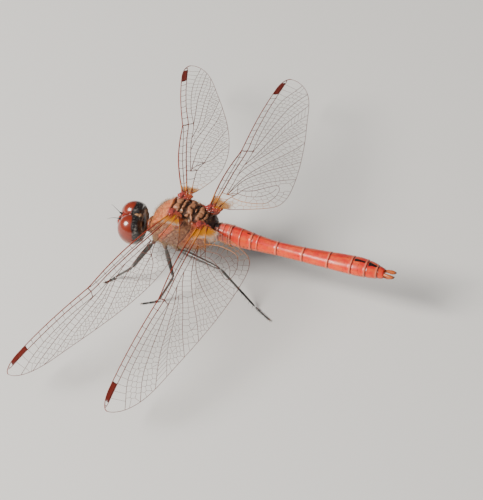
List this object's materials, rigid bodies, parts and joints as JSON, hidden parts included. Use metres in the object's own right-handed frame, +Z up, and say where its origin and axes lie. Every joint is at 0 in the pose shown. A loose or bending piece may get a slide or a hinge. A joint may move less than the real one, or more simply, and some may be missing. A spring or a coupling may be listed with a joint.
{
  "type": "dragonfly",
  "caption": "Life-size museum model of a male ruddy darter dragonfly at rest on its feet, wings spread level and slightly drooped, with a slim level abdomen.",
  "frame": {"origin": "on the floor, under the centre of the bounding box", "axes": "+X to the animal's left, along the wing span; +Y towards the tail; +Z up from the floor the feet stand on"},
  "size_m": [0.059, 0.0396, 0.0112],
  "materials": {
    "eye": "glossy compound eye, dark red-brown above and orange-red below",
    "head": "satin tan and brown cuticle behind the eyes",
    "face": "smooth red cuticle with a soft shine",
    "thorax": "satin red-brown cuticle with fine hairs",
    "abdomen": "blood-red cuticle with a waxy shine",
    "wing": "thin clear membrane with a net of fine red-brown veins",
    "wing_vein": "fine dark red-brown veins, golden at the wing base",
    "wing_spot": "dark red thickened cell near each wing tip, with black edges",
    "hair": "short pale golden hairs",
    "leg": "black horn with a grey sheen and short spines",
    "cercus": "orange-brown horn with a dark tip"
  },
  "bodies": {
    "root": {"head": "head", "face": "face", "vertex": "face", "mouth": "face", "eye_left": "eye", "eye_right": "eye", "antenna_left": "leg", "antenna_right": "leg", "neck": "head", "prothorax": "thorax", "thorax": "thorax", "abdomen_1": "abdomen", "abdomen_2": "abdomen", "abdomen_3": "abdomen", "abdomen_4": "abdomen", "abdomen_5": "abdomen", "abdomen_6": "abdomen", "abdomen_7": "abdomen", "abdomen_8": "abdomen", "abdomen_9": "abdomen", "abdomen_10": "abdomen", "hamule": "thorax", "cercus_left": "cercus", "cercus_right": "cercus", "epiproct": "cercus", "wing_fore_left": "wing", "wing_fore_right": "wing", "wing_hind_left": "wing", "wing_hind_right": "wing", "leg_fore_left_coxa": "leg", "leg_fore_left_femur": "leg", "leg_fore_left_tibia": "leg", "leg_fore_left_tarsus": "leg", "leg_fore_right_coxa": "leg", "leg_fore_right_femur": "leg", "leg_fore_right_tibia": "leg", "leg_fore_right_tarsus": "leg", "leg_mid_left_coxa": "leg", "leg_mid_left_femur": "leg", "leg_mid_left_tibia": "leg", "leg_mid_left_tarsus": "leg", "leg_mid_right_coxa": "leg", "leg_mid_right_femur": "leg", "leg_mid_right_tibia": "leg", "leg_mid_right_tarsus": "leg", "leg_hind_left_coxa": "leg", "leg_hind_left_femur": "leg", "leg_hind_left_tibia": "leg", "leg_hind_left_tarsus": "leg", "leg_hind_right_coxa": "leg", "leg_hind_right_femur": "leg", "leg_hind_right_tibia": "leg", "leg_hind_right_tarsus": "leg"}
  },
  "joints": []
}
